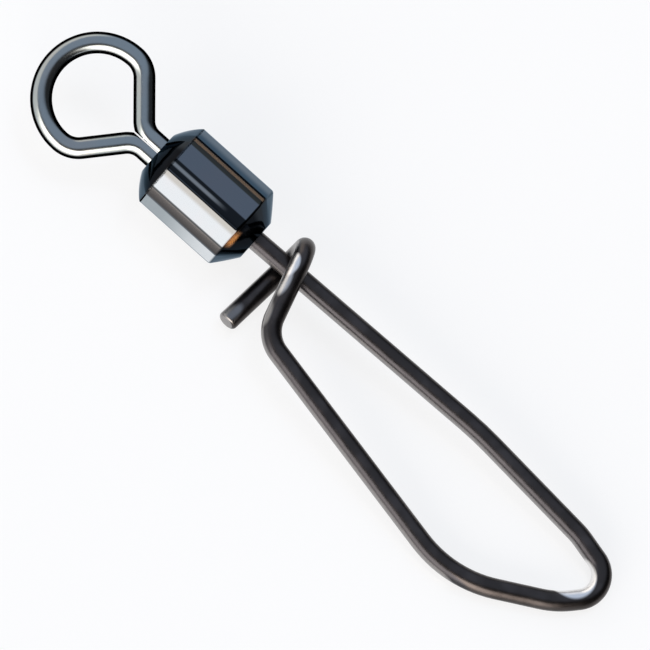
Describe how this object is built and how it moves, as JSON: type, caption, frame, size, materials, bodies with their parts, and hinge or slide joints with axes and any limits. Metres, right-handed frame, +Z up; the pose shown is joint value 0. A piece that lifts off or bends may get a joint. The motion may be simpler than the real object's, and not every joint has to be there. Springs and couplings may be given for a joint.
{
  "type": "fishing snap swivel",
  "caption": "Rolling swivel in black nickel: a faceted barrel with a wire line eye at one end and a hooked wire snap at the other, each turning freely.",
  "frame": {"origin": "middle of the underside of the box that holds the swivel as it lies on a table", "axes": "+X along the swivel from the line eye towards the snap's nose, +Z up from the table, +Y towards the side that the loop's long leg is on"},
  "size_m": [0.044, 0.011, 0.0056],
  "materials": {
    "barrel_plating": "polished black nickel plate on brass",
    "eye_plating": "polished black nickel plate on steel wire",
    "snap_plating": "soft black nickel plate on steel wire"
  },
  "bodies": {
    "barrel": {"barrel": "barrel_plating"},
    "line_eye": {"line_eye": "eye_plating"},
    "hook_snap": {"hook_snap": "snap_plating"}
  },
  "joints": [
    {"name": "eye_spin", "type": "hinge", "parent": "barrel", "child": "line_eye", "pos_m": [-0.00991, 0.00193, 0.00281], "axis": [0.9982, 0, -0.0595], "continuous": true},
    {"name": "snap_spin", "type": "hinge", "parent": "barrel", "child": "hook_snap", "pos_m": [-0.00991, 0.00193, 0.00281], "axis": [0.9982, 0, -0.0595], "continuous": true}
  ]
}
